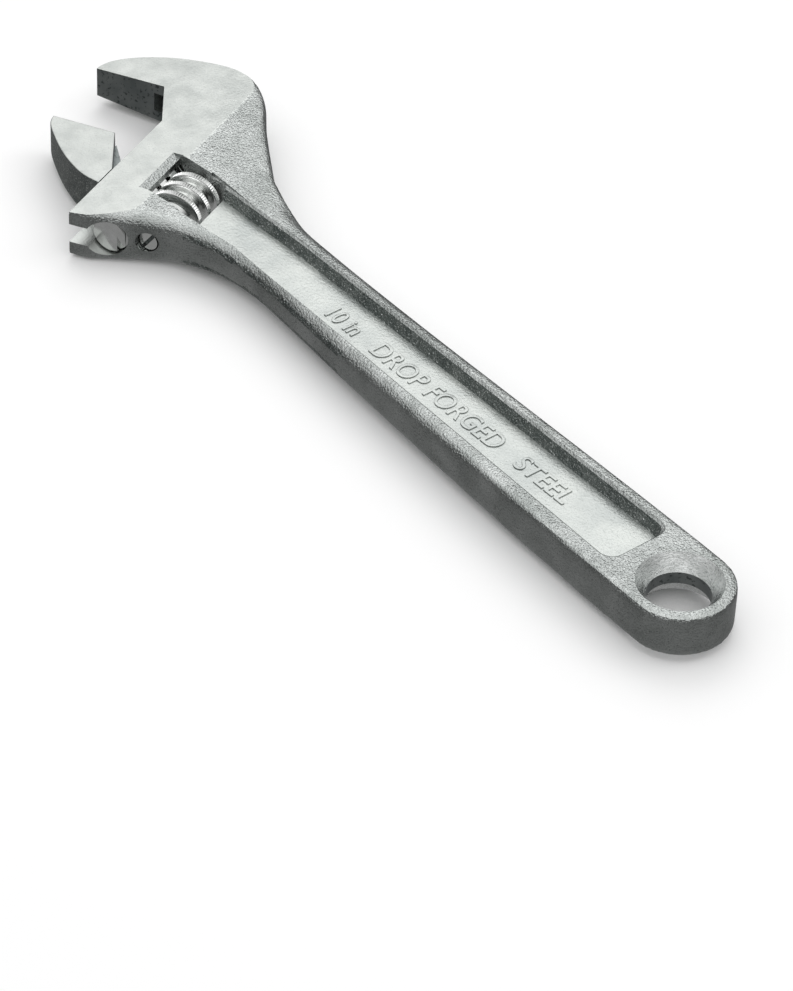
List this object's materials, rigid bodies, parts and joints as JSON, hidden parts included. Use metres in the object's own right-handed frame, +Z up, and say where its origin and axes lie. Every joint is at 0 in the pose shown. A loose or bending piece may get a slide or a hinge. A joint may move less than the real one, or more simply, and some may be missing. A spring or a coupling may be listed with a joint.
{
  "type": "adjustable wrench",
  "caption": "Adjustable wrench with an angled head, a sliding jaw driven by a thumb knurl, a sunk handle panel and a countersunk hang hole.",
  "frame": {"origin": "under the middle of the bounding box, on the surface the wrench lies on", "axes": "+X from the jaws to the hang hole along the handle, +Y towards the fixed jaw's side, +Z up through the thickness"},
  "size_m": [0.2542, 0.0704, 0.0146],
  "materials": {
    "plated_steel": "satin",
    "bright_steel": "bright",
    "spring_steel": "drawn"
  },
  "bodies": {
    "wrench_body": {"handle_and_fixed_jaw": "plated_steel", "knurl_pin": "bright_steel", "knurl_spring": "spring_steel"},
    "jaw": {"movable_jaw": "plated_steel"},
    "knurl_wheel": {"knurl": "bright_steel"}
  },
  "joints": [
    {"name": "knurl_turn", "type": "hinge", "parent": "wrench_body", "child": "knurl_wheel", "pos_m": [-0.07035, -0.00647, 0.0073], "axis": [0.3907, -0.9205, 0], "range_deg": [-410, 1924]},
    {"name": "jaw_slide", "type": "slide", "parent": "wrench_body", "child": "jaw", "axis": [-0.3907, 0.9205, 0], "range_m": [-0.005, 0.0235]}
  ],
  "couplings": [
    {"joint": "knurl_turn", "follows": "jaw_slide", "rad_per_m": 1428}
  ]
}
